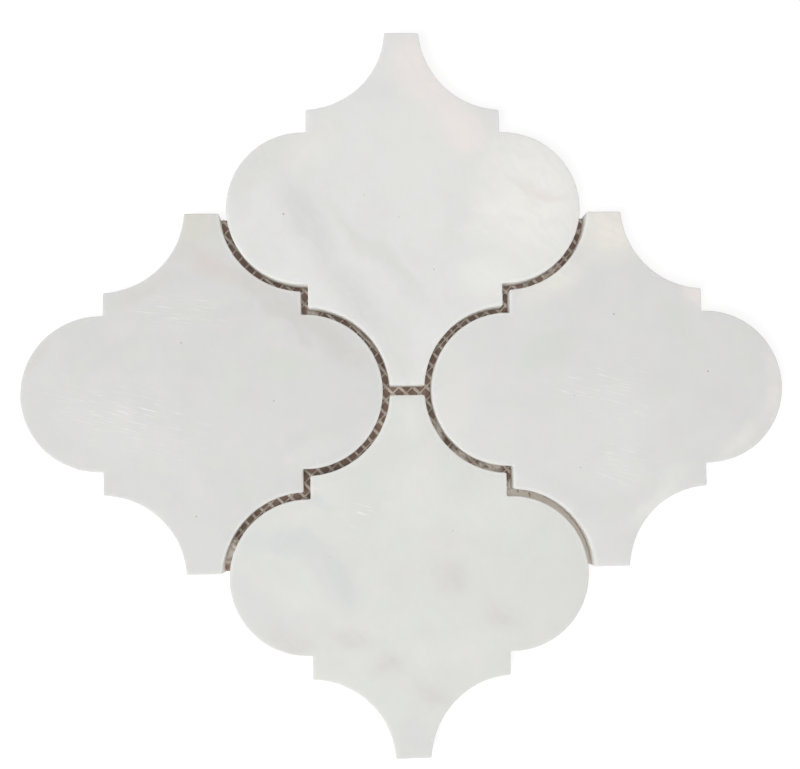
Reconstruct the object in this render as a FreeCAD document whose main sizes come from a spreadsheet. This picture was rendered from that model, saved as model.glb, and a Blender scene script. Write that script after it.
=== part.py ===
import FreeCAD, Part
import math
import os
import Sketcher

# A sheet of moroccan arabesque mosaic in millimetres, lying on its back. Four polished marble
# tiles of one interlocking lantern outline are bonded face up to a glass-fibre mesh, and a thin
# bonding coat behind the mesh closes its cells. Origin: centre of the sheet on the underside of
# that coat. +X runs across the sheet through the left and right tiles, +Y runs to the top
# tile's outer neck, +Z points out of the faces.
#
# The outline is drawn as a quarter, from a neck to a lobe: the straight neck end, a concave
# quarter arc that fits round a neighbour's lobe, a short step, and the convex lobe. Lobe and
# neck arc share the joint's centre line, so that any tile nests into any other.

# Driving dimensions: alias, value in millimetres, meaning.
SIZES = [
    ("arc_radius", 34.4, "radius of the joint's centre line round a lobe"),
    ("neck_width", 14.8, "width of a neck at its narrowest, between two joints"),
    ("step_height", 9.9, "height of the straight step between neck arc and lobe"),
    ("joint_width", 3.0, "open joint between two tiles"),
    ("neck_relief", 0.6, "extra cut off each neck end, which widens the joint there"),
    ("tile_thickness", 9.5, "thickness of the marble"),
    ("arris_size", 0.5, "chamfer that eases the polished face's rim"),
    ("corner_radius", 0.8, "rounding of the outer corners, at the neck end and the step"),
    ("cut_radius", 0.5, "radius that the cutting jet leaves in the inner corner of the step"),
    ("coat_thickness", 0.3, "bonding coat behind the mesh, which closes its cells"),
    ("strand_thickness", 0.5, "thickness of the mesh in front of that coat"),
    ("backing_inset", 0.6, "how far mesh and coat stay inside the tiles' outer edges"),
    ("mesh_pitch", 4.1, "pitch of the mesh strands, which run at 45 degrees"),
    ("fine_strand", 0.8, "width of the strands that rise to the right"),
    ("broad_strand", 1.2, "width of the strands that rise to the left"),
    ("mesh_shift_along", -0.65, "how far a crossing lies from the centre, up to the right"),
    ("mesh_shift_across", -0.25, "how far that crossing lies from the centre, up to the left"),
    ("selvedge", 0.4, "least mesh left between an open cell and the mesh's edge"),
]

# Sizes that follow from the sheet, as expressions on its aliases.
HALF_JOINT = "Sizes.joint_width / 2"
PITCH_X = "(4 * Sizes.arc_radius + 2 * (Sizes.neck_width + Sizes.joint_width))"
PITCH_Y = "(4 * Sizes.arc_radius + 2 * Sizes.step_height)"
BACKING_THICKNESS = "(Sizes.coat_thickness + Sizes.strand_thickness)"
NO_INSET = "0"
ON_FLOOR = "0"
BACKING_INSET = "Sizes.backing_inset"
SHEET_CENTRE = ("0", "0")

# Centre of each tile on the sheet.
TILE_CENTRES = {
    "tile_top": ("0", PITCH_Y + " / 2"),
    "tile_left": ("-" + PITCH_X + " / 2", "0"),
    "tile_right": (PITCH_X + " / 2", "0"),
    "tile_bottom": ("0", "-" + PITCH_Y + " / 2"),
}

MESH_ANGLE = 45.0
CELL_OVERCUT = 1.0
FLAT_TOLERANCE = 1e-6
CORNER_TOLERANCE = 1e-3

doc = FreeCAD.newDocument("arabesque_mosaic_sheet")


def make_sheet():
    """The spreadsheet with one aliased cell for each driving dimension."""
    sheet = doc.addObject("Spreadsheet::Sheet", "Sizes")
    for row, (alias, number, meaning) in enumerate(SIZES, start=1):
        sheet.set(f"A{row}", alias)
        sheet.set(f"B{row}", str(number))
        sheet.setAlias(f"B{row}", alias)
        sheet.set(f"C{row}", meaning)
    doc.recompute()
    return sheet


sizes = make_sheet()


def value(expression):
    """The number that an expression on the sheet gives now."""
    return float(sizes.evalExpression(expression))


def bind(sketch, kind, *parts):
    """Adds a dimension to a sketch and ties it to an expression, which comes last."""
    *where, expression = parts
    index = sketch.addConstraint(Sketcher.Constraint(kind, *where, value(expression)))
    sketch.setExpression(f"Constraints[{index}]", expression)


def origin_plane(body, role):
    """One of the body's own base planes."""
    return next(plane for plane in body.Origin.OriginFeatures if plane.Role == role)


# A sketch names an edge's points by number: its start, its end and an arc's centre. The
# sketch's origin is the start of its edge -1.
START, END, CENTRE = range(1, 4)
ORIGIN_POINT = (-1, START)


def add_line(sketch, x1, y1, x2, y2):
    """A straight edge between two points."""
    return sketch.addGeometry(
        Part.LineSegment(FreeCAD.Vector(x1, y1, 0), FreeCAD.Vector(x2, y2, 0))
    )


def add_arc(sketch, x, y, radius, first, last):
    """An arc about a centre, between two angles in radians."""
    circle = Part.Circle(FreeCAD.Vector(x, y, 0), FreeCAD.Vector(0, 0, 1), radius)
    return sketch.addGeometry(Part.ArcOfCircle(circle, first, last))


def add_quarter_rim(sketch, centre, inset):
    """Draws one tile's rim in the quarter above and right of its centre, moved in by inset.

    Returns its edges by name. The neck end runs from the left, and the lobe's start is its widest
    point.
    """
    centre_x, centre_y = centre
    arc_x = f"{centre_x} + {PITCH_X} / 4"
    step_x = f"{arc_x} - {HALF_JOINT} - {inset}"
    neck_arc_y = f"{centre_y} + {PITCH_Y} / 2"
    neck_end_y = f"{neck_arc_y} - {HALF_JOINT} - Sizes.neck_relief - {inset}"
    neck_radius = f"Sizes.arc_radius + {HALF_JOINT} + {inset}"
    lobe_radius = f"Sizes.arc_radius - {HALF_JOINT} - {inset}"

    drop = value(neck_arc_y) - value(neck_end_y)
    reach = value(arc_x) - value(step_x)
    first = math.pi + math.asin(drop / value(neck_radius))
    last = 1.5 * math.pi - math.asin(reach / value(neck_radius))
    neck_x = value(arc_x) - math.sqrt(value(neck_radius) ** 2 - drop**2)
    step_top = value(neck_arc_y) - math.sqrt(value(neck_radius) ** 2 - reach**2)
    ledge_y = value(centre_y) + value(lobe_radius)

    neck_end = add_line(sketch, value(centre_x), value(neck_end_y), neck_x, value(neck_end_y))
    neck_arc = add_arc(sketch, value(arc_x), value(neck_arc_y), value(neck_radius), first, last)
    step = add_line(sketch, value(step_x), step_top, value(step_x), ledge_y)
    ledge = add_line(sketch, value(step_x), ledge_y, value(arc_x), ledge_y)
    lobe = add_arc(sketch, value(arc_x), value(centre_y), value(lobe_radius), 0, math.pi / 2)

    for kind, *where in (
        ("Coincident", neck_end, END, neck_arc, START),
        ("Coincident", neck_arc, END, step, START),
        ("Coincident", step, END, ledge, START),
        ("Coincident", ledge, END, lobe, END),
        ("Horizontal", neck_end),
        ("Vertical", step),
        ("Horizontal", ledge),
        ("Vertical", lobe, CENTRE, lobe, END),
        ("Horizontal", lobe, CENTRE, lobe, START),
    ):
        sketch.addConstraint(Sketcher.Constraint(kind, *where))
    bind(sketch, "DistanceX", *ORIGIN_POINT, neck_arc, CENTRE, arc_x)
    bind(sketch, "DistanceY", *ORIGIN_POINT, neck_arc, CENTRE, neck_arc_y)
    bind(sketch, "DistanceX", *ORIGIN_POINT, lobe, CENTRE, arc_x)
    bind(sketch, "DistanceY", *ORIGIN_POINT, lobe, CENTRE, centre_y)
    bind(sketch, "DistanceY", *ORIGIN_POINT, neck_end, START, neck_end_y)
    bind(sketch, "DistanceX", *ORIGIN_POINT, step, START, step_x)
    bind(sketch, "Radius", neck_arc, neck_radius)
    bind(sketch, "Radius", lobe, lobe_radius)
    return {"neck_end": neck_end, "neck_arc": neck_arc, "step": step, "lobe": lobe}


def close_on_axes(sketch, neck_end, lobe):
    """Closes a quarter outline along the Y axis and the X axis."""
    widest = sketch.getPoint(lobe, START)
    left = add_line(sketch, 0, 0, 0, sketch.getPoint(neck_end, START).y)
    foot = add_line(sketch, widest.x, 0, 0, 0)
    for kind, *where in (
        ("Coincident", left, START, *ORIGIN_POINT),
        ("Coincident", left, END, neck_end, START),
        ("Vertical", left),
        ("Coincident", foot, END, *ORIGIN_POINT),
        ("Coincident", foot, START, lobe, START),
    ):
        sketch.addConstraint(Sketcher.Constraint(kind, *where))


def quarter_sketch(body, name):
    """An empty sketch on the body's XY plane."""
    sketch = body.newObject("Sketcher::SketchObject", name)
    sketch.AttachmentSupport = [(origin_plane(body, "XY_Plane"), "")]
    sketch.MapMode = "FlatFace"
    return sketch


def pad_and_mirror(body, sketch, thickness):
    """Pads a quarter outline and mirrors it across both of the body's upright planes."""
    pad = body.newObject("PartDesign::Pad", body.Name + "_quarter")
    pad.Profile = sketch
    pad.setExpression("Length", thickness)
    doc.recompute()
    whole = body.newObject("PartDesign::MultiTransform", body.Name + "_whole")
    across = body.newObject("PartDesign::Mirrored", body.Name + "_across")
    across.MirrorPlane = (origin_plane(body, "YZ_Plane"), [""])
    along = body.newObject("PartDesign::Mirrored", body.Name + "_along")
    along.MirrorPlane = (origin_plane(body, "XZ_Plane"), [""])
    whole.Originals = [pad]
    whole.Transformations = [across, along]
    whole.Refine = True
    body.Tip = whole
    doc.recompute()
    return whole


def round_corners(body, plate, corners, radius, name):
    """Rounds the upright edges of a plate at each of these points, in all four quarters."""
    edges = []
    for number, edge in enumerate(plate.Shape.Edges, start=1):
        box = edge.BoundBox
        upright = max(box.XLength, box.YLength) < FLAT_TOLERANCE
        place = FreeCAD.Vector(abs(box.Center.x), abs(box.Center.y), 0)
        if upright and any(place.distanceToPoint(corner) < CORNER_TOLERANCE for corner in corners):
            edges.append(f"Edge{number}")
    rounded = body.newObject("PartDesign::Fillet", name)
    rounded.Base = (plate, edges)
    rounded.setExpression("Radius", radius)
    body.Tip = rounded
    doc.recompute()
    return rounded


def make_tile(name, centre):
    """One marble tile: mirrored quarter outline, padded, with its corners and rim eased."""
    body = doc.addObject("PartDesign::Body", name)
    body.Label = name
    sketch = quarter_sketch(body, name + "_outline")
    rim = add_quarter_rim(sketch, SHEET_CENTRE, NO_INSET)
    close_on_axes(sketch, rim["neck_end"], rim["lobe"])
    plate = pad_and_mirror(body, sketch, "Sizes.tile_thickness")
    outer = [sketch.getPoint(rim["neck_arc"], end) for end in (START, END)]
    inner = [sketch.getPoint(rim["step"], END)]
    plate = round_corners(body, plate, outer, "Sizes.corner_radius", name + "_corners")
    plate = round_corners(body, plate, inner, "Sizes.cut_radius", name + "_inner_corners")

    top = value("Sizes.tile_thickness")
    face = next(
        f"Face{number}"
        for number, found in enumerate(plate.Shape.Faces, start=1)
        if abs(found.BoundBox.ZMin - top) < FLAT_TOLERANCE
    )
    arris = body.newObject("PartDesign::Chamfer", name + "_arris")
    arris.Base = (plate, [face])
    arris.setExpression("Size", "Sizes.arris_size")
    body.Tip = arris

    centre_x, centre_y = centre
    body.setExpression("Placement.Base.x", centre_x)
    body.setExpression("Placement.Base.y", centre_y)
    body.setExpression("Placement.Base.z", BACKING_THICKNESS)
    return body


def make_backing_sheet(name, thickness, height):
    """A thin sheet of the whole outline, moved in from the rim, with the joints bridged."""
    body = doc.addObject("PartDesign::Body", name)
    body.Label = name
    sketch = quarter_sketch(body, name + "_outline")
    top = add_quarter_rim(sketch, TILE_CENTRES["tile_top"], BACKING_INSET)
    right = add_quarter_rim(sketch, TILE_CENTRES["tile_right"], BACKING_INSET)
    close_on_axes(sketch, top["neck_end"], right["lobe"])
    above = sketch.getPoint(top["lobe"], START)
    below = sketch.getPoint(right["neck_end"], START)
    bridge = add_line(sketch, above.x, above.y, above.x, below.y)
    for kind, *where in (
        ("Coincident", bridge, START, top["lobe"], START),
        ("Coincident", bridge, END, right["neck_end"], START),
        ("Vertical", bridge),
    ):
        sketch.addConstraint(Sketcher.Constraint(kind, *where))
    pad_and_mirror(body, sketch, thickness)
    body.setExpression("Placement.Base.z", height)
    return body


class SheetPlan:
    """Tells which points of the sheet lie under a tile, and which on the backing."""

    def __init__(self):
        self.half_joint = value(HALF_JOINT)
        self.relief = value("Sizes.neck_relief")
        self.inset = value(BACKING_INSET)
        self.arc_x, self.arc_y = value(PITCH_X) / 4, value(PITCH_Y) / 2
        self.radius = value("Sizes.arc_radius")
        self.centres = [(value(x), value(y)) for x, y in TILE_CENTRES.values()]

    def tiles_over(self, point, inset):
        """How many tiles hold the point in their outline, moved in by inset."""
        return sum(
            self.in_quarter(abs(point.x - x), abs(point.y - y), inset) for x, y in self.centres
        )

    def in_quarter(self, across, along, inset):
        """The same test within one tile's quarter, from its centre."""
        from_rim = self.half_joint + inset
        lobe = self.radius - from_rim
        if across > self.arc_x - from_rim:
            if across < self.arc_x:
                return along < lobe
            return math.hypot(across - self.arc_x, along) < lobe
        from_neck_arc = math.hypot(across - self.arc_x, along - self.arc_y)
        below_neck_end = along < self.arc_y - from_rim - self.relief
        return below_neck_end and from_neck_arc > self.radius + from_rim

    def on_backing(self, point):
        """Whether the backing is there: under a tile, or where it bridges a joint."""
        if self.tiles_over(point, self.inset):
            return True
        bridge_x = self.arc_x + self.radius - self.half_joint - self.inset
        bridge_y = self.arc_y - self.half_joint - self.relief - self.inset
        bridged = abs(point.x) < bridge_x or abs(point.y) < bridge_y
        return bridged and self.tiles_over(point, -2 * self.half_joint - self.inset) > 1


def make_cells(blank):
    """The mesh cells that the joints show, as cutters through the mesh.

    A cell's length lies between two broad strands and its width between two fine ones.
    """
    pitch = value("Sizes.mesh_pitch")
    length = pitch - value("Sizes.broad_strand")
    width = pitch - value("Sizes.fine_strand")
    foot = value("Sizes.coat_thickness") - CELL_OVERCUT
    height = value("Sizes.strand_thickness") + 2 * CELL_OVERCUT
    margin = value("Sizes.selvedge")
    plan = SheetPlan()
    turn = FreeCAD.Rotation(FreeCAD.Vector(0, 0, 1), MESH_ANGLE)
    reach = int(blank.Shape.BoundBox.DiagonalLength / 2 / pitch) + 1

    def middle(steps, shift):
        return (steps + 0.5) * pitch + value(shift)

    def corners(along, across, spare):
        for side_x in (-length / 2 - spare, length / 2 + spare):
            for side_y in (-width / 2 - spare, width / 2 + spare):
                yield turn.multVec(FreeCAD.Vector(along + side_x, across + side_y, foot))

    cutters = []
    middles = range(-reach, reach + 1)
    for along in (middle(steps, "Sizes.mesh_shift_along") for steps in middles):
        for across in (middle(steps, "Sizes.mesh_shift_across") for steps in middles):
            if all(plan.tiles_over(point, 0) for point in corners(along, across, 0)):
                continue
            if not all(plan.on_backing(point) for point in corners(along, across, margin)):
                continue
            box = Part.makeBox(length, width, height)
            low = FreeCAD.Vector(along - length / 2, across - width / 2, foot)
            box.Placement = FreeCAD.Placement(turn.multVec(low), turn)
            cutters.append(box)
    cells = doc.addObject("Part::Feature", "mesh_cells")
    cells.Shape = Part.makeCompound(cutters)
    return cells


def make_mesh():
    """The mesh: a sheet as thick as its strands, less the cells that the joints show."""
    blank = make_backing_sheet("mesh_blank", "Sizes.strand_thickness", "Sizes.coat_thickness")
    doc.recompute()
    mesh = doc.addObject("Part::Cut", "mesh_backing")
    mesh.Label = "mesh_backing"
    mesh.Base = blank
    mesh.Tool = make_cells(blank)
    return mesh


def check(subparts):
    """Stops on a failed object or a sub-part without one valid solid."""
    for found in doc.Objects:
        if "Invalid" in found.State or "Error" in found.State:
            raise RuntimeError(f"{found.Name} is {found.State}")
    for subpart in subparts:
        shape = subpart.Shape
        if shape.isNull() or not shape.isValid() or len(shape.Solids) != 1:
            raise RuntimeError(f"{subpart.Label} isn't one valid solid")


subparts = [make_tile(name, centre) for name, centre in TILE_CENTRES.items()]
subparts.append(make_mesh())
subparts.append(make_backing_sheet("bonding_coat", "Sizes.coat_thickness", ON_FLOOR))
doc.recompute()
check(subparts)

os.makedirs("parts", exist_ok=True)
for subpart in subparts:
    subpart.Shape.exportStep(f"parts/{subpart.Label}.step")
    box = subpart.Shape.BoundBox
    print(
        f"{subpart.Label}: {box.XLength:.2f} x {box.YLength:.2f} x {box.ZLength:.2f} mm, "
        f"{subpart.Shape.Volume / 1000:.2f} cm3, {len(subpart.Shape.Faces)} faces"
    )
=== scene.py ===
import math

import bpy
from mathutils import Matrix, Vector, noise
from mathutils.geometry import delaunay_2d_cdt


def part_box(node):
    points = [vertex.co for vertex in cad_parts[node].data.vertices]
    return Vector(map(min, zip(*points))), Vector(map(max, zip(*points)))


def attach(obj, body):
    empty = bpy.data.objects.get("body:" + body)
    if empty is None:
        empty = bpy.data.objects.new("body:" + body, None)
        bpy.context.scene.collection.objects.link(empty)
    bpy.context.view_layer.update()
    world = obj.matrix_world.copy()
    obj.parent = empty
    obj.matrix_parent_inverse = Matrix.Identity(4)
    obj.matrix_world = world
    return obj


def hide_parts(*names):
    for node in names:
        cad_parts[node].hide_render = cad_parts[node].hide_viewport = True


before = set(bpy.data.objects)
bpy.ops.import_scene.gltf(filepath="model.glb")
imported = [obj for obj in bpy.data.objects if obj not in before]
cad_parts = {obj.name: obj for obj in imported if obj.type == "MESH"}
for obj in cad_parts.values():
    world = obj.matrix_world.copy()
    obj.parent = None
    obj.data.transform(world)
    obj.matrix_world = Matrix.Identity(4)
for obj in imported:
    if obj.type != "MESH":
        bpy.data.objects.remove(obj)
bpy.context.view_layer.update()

# A sheet of moroccan arabesque mosaic: four polished marble tiles on a glass-fibre mesh, with a
# brown bonding coat behind the mesh. Lengths are in metres, written as millimetres times MM.
MM = 0.001

# Outline of a tile and of the joint, as in the solid model.
ARC_RADIUS = 34.4 * MM
NECK_WIDTH = 14.8 * MM
STEP_HEIGHT = 9.9 * MM
JOINT = 3.0 * MM
NECK_RELIEF = 0.6 * MM
BACKING_INSET = 0.6 * MM
PITCH_X = 4 * ARC_RADIUS + 2 * (NECK_WIDTH + JOINT)
PITCH_Y = 4 * ARC_RADIUS + 2 * STEP_HEIGHT
ARC_X = PITCH_X / 4
ARC_Y = PITCH_Y / 2

# Tile centres on the sheet.
TILES = {
    "tile_top": (0, PITCH_Y / 2),
    "tile_left": (-PITCH_X / 2, 0),
    "tile_right": (PITCH_X / 2, 0),
    "tile_bottom": (0, -PITCH_Y / 2),
}

# Heights, from the solid model's parts.
TILE_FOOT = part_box("tile_top")[0].z
TILE_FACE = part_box("tile_top")[1].z
COAT_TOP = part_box("bonding_coat")[1].z

# Rim of a tile: the cut, which strays a little, the eased arris, and the last of the polish,
# which rounds the face over. The passes ease its corners and its directions by averaging, and
# the walls' rings stand at shares of their height.
RIM_SPACING = 0.32 * MM
CORNER_PASSES = 5
DIRECTION_PASSES = 3
WALL_RINGS = (0.33, 0.66)
CUT_STRAY = 0.05 * MM
FINE_STRAY_SHARE = 0.4
ARRIS = 0.35 * MM
ARRIS_VARIATION = 0.35
ARRIS_STEPS = 4
FOOT_ARRIS = 0.25 * MM
CHIP_DEPTH = 0.55 * MM
POLISH_DROP = 0.10 * MM
POLISH_INSETS = [1.5 * MM, 2.5 * MM, 3.7 * MM, 5.0 * MM]

# How fast the rim's unevenness changes along it, in waves a millimetre.
STRAY_WAVE = 0.35
FINE_STRAY_WAVE = 1.9
ARRIS_WAVE = 0.18
RAGGED_WAVE = 1.1

# The same of its chips and its small nicks, with the noise level above which they start, and how
# fast they deepen past it.
CHIP_WAVE, CHIP_START, CHIP_GAIN = 0.23, 0.28, 2.2
CHIP_SHIFT = Vector((9, 4, 2))
NICK_WAVE, NICK_START, NICK_GAIN = 2.6, 0.35, 0.42

# How far apart the tiles lie in the noises of the cut and of the chips.
CUT_LAYERS = 3.7
CHIP_LAYERS = 11.3

# The pale line of light along a rim, a painted highlight: how far in it reaches, and how strong
# it is where no other tile stands beside the rim.
HALO_REACH = 0.7 * MM
OPEN_RIM_GLOW = 0.25
GLOW_PASSES = 8

# Mesh strands. The broad ones rise to the left, the fine ones are pairs that rise to the right.
# The solid model has them at 45 degrees and at their nominal pitch. This mesh lies a little
# turned and stretched under its tiles.
MESH_PITCH = 4.19 * MM
FINE_ANGLE = math.radians(44.7)
BROAD_ANGLE = math.radians(133.6)
UP_RIGHT = Vector((math.cos(FINE_ANGLE), math.sin(FINE_ANGLE)))
UP_LEFT = Vector((math.cos(BROAD_ANGLE), math.sin(BROAD_ANGLE)))
SHIFT_ALONG = -0.45 * MM
SHIFT_ACROSS = -0.35 * MM
BROAD_WIDTH = 1.3 * MM
BROAD_THICKNESS = 0.28 * MM
YARN = 0.46 * MM
YARN_SWING = 0.17 * MM
YARN_LIFT = 0.17 * MM
STRAND_SWAY = 0.1 * MM
BROAD_UNEVENNESS = 0.22
YARN_UNEVENNESS = 0.15
MESH_MIDDLE = 0.4 * MM

# Noise along the strands: waves a millimetre, the step from strand to strand, and the layer. The
# layer of the yarns' swell is their side.
BROAD_SWAY = (0.11, 5.3, 1)
BROAD_SWELL = (0.3, 3.1, 5)
YARN_SWAY = (0.13, 4.7, 3)
YARN_SWELL = (0.5, 2.9)

# Rings to a pitch of the mesh, and sides, of a strand.
BROAD_RINGS, BROAD_SIDES = 2, 8
YARN_RINGS, YARN_SIDES = 4, 6

# The bonding coat's film: how far its top dips under the coat's own, how high its underside
# lies, the ripple of both, and how far adhesive rises above it and how unevenly.
FILM_DIP = 0.06 * MM
FILM_RIPPLE = 0.05 * MM
FILM_UNDERSIDE = 0.12 * MM
UNDERSIDE_RIPPLE = 0.04 * MM
FILL_RISE = 0.8 * MM
FILL_UNEVENNESS = 1.5

# Layer and waves a millimetre of those ripples and of the adhesive's unevenness.
TOP_NOISE = (2, 0.8)
UNDERSIDE_NOISE = (8, 0.5)
FILL_NOISE = (6.5, 0.8)

# The film's grid. Deeper under a tile than HIDDEN_INSET, only each fourth point is kept. A point
# knows a joint by the tiles that it finds round it at JOINT_SEARCH.
FILM_GRID = 1.0 * MM
HIDDEN_STEP = 4
HIDDEN_INSET = 2.2 * MM
EDGE_CLEARANCE = 0.6 * MM
JOINT_SEARCH = 3.2 * MM
SEARCH_DIRECTIONS = 12

# The photograph's camera: turn and shift of the sheet before it, distance, focal length, and
# how far the photograph is cut out of its picture to one side.
SHEET_TURN = [math.radians(angle) for angle in (-2.72, 2.71, 0.99)]
SHEET_SHIFT = (4.42 * MM, 21.07 * MM)
CAMERA_DISTANCE = 469.2 * MM
PHOTO_WIDTH_PX = 800
FOCAL_PX = 1100
CUT_OUT_PX = (-3.0, 55.0)
SENSOR_WIDTH = 36.0
CLIP_START = 0.01

# Lamps: place and size in metres, and watts. The surround's light is a share of full white.
LAMPS = [
    ("overhead_lamp", (-0.1, -0.1, 2.0), 1.2, 12.5),
    ("key_lamp", (-0.9, -0.9, 1.7), 1.2, 27.8),
]
SURROUND_LIGHT = 0.25

# The floor: its half width, the grey that it glows, the grey that takes the shadow, the paint
# that light from the sheet meets, and the distances over which the glow rises to full white.
FLOOR_REACH = 6.0
FLOOR_GLOW = (0.8, 0.8, 0.8, 1)
FLOOR_SHADED = (0.25, 0.25, 0.25, 1)
FLOOR_PAINT = (0.98, 0.98, 0.98, 1)
FLOOR_ROUGHNESS = 0.9
SHADOW_REACH = (0.4, 1.4)
FULL_GLOW = 1.25


# Outlines

def spread(first, last, count):
    """count evenly spaced values from first up to, not including, last."""
    return [first + (last - first) * step / count for step in range(count)]


def quarter_rim(inset, spacing):
    """A tile's rim in the quarter above and right of its centre, from the lobe to the neck."""
    from_joint = JOINT / 2 + inset
    lobe = ARC_RADIUS - from_joint
    neck = ARC_RADIUS + from_joint
    neck_end = ARC_Y - from_joint - NECK_RELIEF
    first = math.pi + math.asin((ARC_Y - neck_end) / neck)
    last = 1.5 * math.pi - math.asin(from_joint / neck)
    arc_count = round(ARC_RADIUS * math.pi / 2 / spacing)
    step_x = ARC_X - from_joint
    step_top = ARC_Y + neck * math.sin(last)
    neck_x = ARC_X + neck * math.cos(first)
    points = [
        (ARC_X + lobe * math.cos(angle), lobe * math.sin(angle))
        for angle in spread(0, math.pi / 2, arc_count)
    ]
    points += [(x, lobe) for x in spread(ARC_X, step_x, round(JOINT / 2 / spacing))]
    points += [(step_x, y) for y in spread(lobe, step_top, round(STEP_HEIGHT / spacing))]
    points += [
        (ARC_X + neck * math.cos(angle), ARC_Y + neck * math.sin(angle))
        for angle in spread(last, first, arc_count)
    ]
    points += [(x, neck_end) for x in spread(neck_x, 0, round(NECK_WIDTH / 2 / spacing))]
    points.append((0, neck_end))
    return points


def mirrored(quarter):
    """The closed loop that a quarter outline makes, from the X axis round to the X axis."""
    upper = quarter + [(-x, y) for x, y in quarter[-2::-1]]
    return upper + [(x, -y) for x, y in upper[-2:0:-1]]


def softened(loop, passes):
    """A closed loop with its corners eased by averaging."""
    for _ in range(passes):
        loop = [
            (
                (loop[i - 1][0] + 2 * x + loop[(i + 1) % len(loop)][0]) / 4,
                (loop[i - 1][1] + 2 * y + loop[(i + 1) % len(loop)][1]) / 4,
            )
            for i, (x, y) in enumerate(loop)
        ]
    return loop


def backing_outline(inset, spacing):
    """The sheet's whole outline, moved in from the tiles' rims, with the joints bridged."""
    quarter = quarter_rim(inset, spacing)
    bridge_x = ARC_X + ARC_RADIUS - JOINT / 2 - inset
    right = [(x + PITCH_X / 2, y) for x, y in quarter]
    right = [point for point in right if point[0] > PITCH_X / 2 + MM]
    top = [(x, y + PITCH_Y / 2) for x, y in quarter]
    return mirrored(right + [(bridge_x, right[-1][1])] + top)


def inside_tile(x, y, inset):
    """Whether a point of the sheet lies in some tile's outline, moved in by inset."""
    from_joint = JOINT / 2 + inset
    for centre_x, centre_y in TILES.values():
        across, along = abs(x - centre_x), abs(y - centre_y)
        if across > ARC_X:
            held = math.hypot(across - ARC_X, along) < ARC_RADIUS - from_joint
        elif across > ARC_X - from_joint:
            held = along < ARC_RADIUS - from_joint
        else:
            clear = math.hypot(across - ARC_X, along - ARC_Y) > ARC_RADIUS + from_joint
            held = clear and along < ARC_Y - from_joint - NECK_RELIEF
        if held:
            return True
    return False


# Mesh making

def new_piece(name, vertices, faces, material_of_face, materials):
    """A smooth mesh object of the sheet, which rides on its one body."""
    mesh = bpy.data.meshes.new(name)
    mesh.from_pydata(vertices, [], faces)
    for material in materials:
        mesh.materials.append(material)
    mesh.polygons.foreach_set("material_index", material_of_face)
    mesh.polygons.foreach_set("use_smooth", [True] * len(faces))
    mesh.update()
    piece = bpy.data.objects.new(name, mesh)
    bpy.context.scene.collection.objects.link(piece)
    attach(piece, "root")
    return piece


def store(piece, name, values):
    """Gives each point of a piece a value for its material to read."""
    piece.data.attributes.new(name, "FLOAT", "POINT").data.foreach_set("value", values)


def bridge_rings(first, second, count):
    """Quads between two closed rings of vertices, given by their first numbers."""
    return [
        (first + i, first + (i + 1) % count, second + (i + 1) % count, second + i)
        for i in range(count)
    ]


def noise_at(x, y, layer, waves):
    """A noise value at a place, in a layer of the noise, at a scale in waves a millimetre."""
    return noise.noise(Vector((x / MM, y / MM, layer)) * waves)


def chip_size(x, y, layer):
    """How far the arris is broken back at a place, from 0 to 1."""
    place = Vector((x / MM, y / MM, layer))
    ragged = noise_at(x, y, layer, RAGGED_WAVE) * 0.5 + 0.5
    chipped = max(0.0, noise.noise(place * CHIP_WAVE + CHIP_SHIFT) - CHIP_START) * CHIP_GAIN
    nicked = max(0.0, noise.noise(place * NICK_WAVE) - NICK_START) * NICK_GAIN
    return min(1.0, chipped * ragged + nicked)


def cut_edge(rim, seed):
    """How far the cut strays inwards, and how wide the chipped arris is, along a rim."""
    strays, arrises = [], []
    layer = seed * CUT_LAYERS
    for x, y in rim:
        stray = noise_at(x, y, layer, STRAY_WAVE)
        stray += FINE_STRAY_SHARE * noise_at(x, y, layer, FINE_STRAY_WAVE)
        strays.append(CUT_STRAY * stray)
        eased = ARRIS * (1 + ARRIS_VARIATION * noise_at(x, y, layer, ARRIS_WAVE))
        arrises.append(eased + CHIP_DEPTH * chip_size(x, y, seed * CHIP_LAYERS))
    return strays, arrises


def inward_directions(rim):
    """The direction into the tile at each point of its rim, eased round the corners."""
    directions = []
    for i in range(len(rim)):
        ahead, behind = rim[(i + 1) % len(rim)], rim[i - 1]
        along = Vector((ahead[0] - behind[0], ahead[1] - behind[1])).normalized()
        directions.append((-along.y, along.x))
    return softened(directions, DIRECTION_PASSES)


def rim_glow(rim, directions, centre):
    """How strongly the painted highlight shows along a rim: fully beside a joint, and less on the
    open rims.
    """
    reach = JOINT + MM
    glow = []
    for (x, y), (in_x, in_y) in zip(rim, directions):
        at_joint = inside_tile(x + centre[0] - in_x * reach, y + centre[1] - in_y * reach, 0)
        glow.append((1.0 if at_joint else OPEN_RIM_GLOW, 0))
    return [level for level, _ in softened(glow, GLOW_PASSES)]


def face_drop(inset):
    """How far the polish rounds the face over at a distance in from the rim."""
    return POLISH_DROP * (1 - inset / POLISH_INSETS[-1]) ** 2


def moved_in(rim, directions, insets):
    """A rim's points moved into the tile, each by its own inset."""
    return [
        (x + in_x * inset, y + in_y * inset)
        for (x, y), (in_x, in_y), inset in zip(rim, directions, insets)
    ]


def at_height(points, height):
    """Points lifted to one height."""
    return [(x, y, height) for x, y in points]


def wall_rings(rim, directions, strays):
    """The rings of a tile's foot and cut walls, from below, each with its share of light."""
    foot = moved_in(rim, directions, [FOOT_ARRIS + stray for stray in strays])
    wall = moved_in(rim, directions, strays)
    heights = [TILE_FOOT + FOOT_ARRIS]
    heights += [TILE_FOOT + (TILE_FACE - TILE_FOOT) * share for share in WALL_RINGS]
    rings = [at_height(foot, TILE_FOOT)] + [at_height(wall, height) for height in heights]
    return [(ring, 0.0) for ring in rings]


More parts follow.
